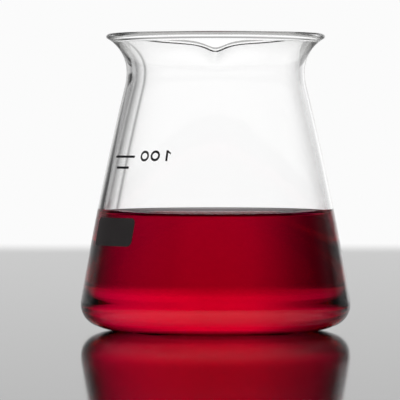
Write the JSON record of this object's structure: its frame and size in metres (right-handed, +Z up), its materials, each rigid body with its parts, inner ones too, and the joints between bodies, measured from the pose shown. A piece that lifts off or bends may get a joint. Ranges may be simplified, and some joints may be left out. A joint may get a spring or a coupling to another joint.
{
  "type": "conical flask",
  "caption": "Clear conical glass laboratory flask with a flared rim and a drawn pouring spout, part filled with red liquid, with a dark grey writing field on the wall.",
  "frame": {"origin": "centre of the standing face, on the table", "axes": "+Z up along the flask's axis, the pouring spout points along +Y"},
  "size_m": [0.0652, 0.0652, 0.0715],
  "materials": {
    "glass": "clear borosilicate glass, fire polished",
    "liquid": "clear red water-like liquid",
    "enamel": "matt dark grey fired-on enamel"
  },
  "bodies": {
    "root": {"glass_flask": "glass", "red_liquid": "liquid", "marking_field": "enamel"}
  },
  "joints": []
}
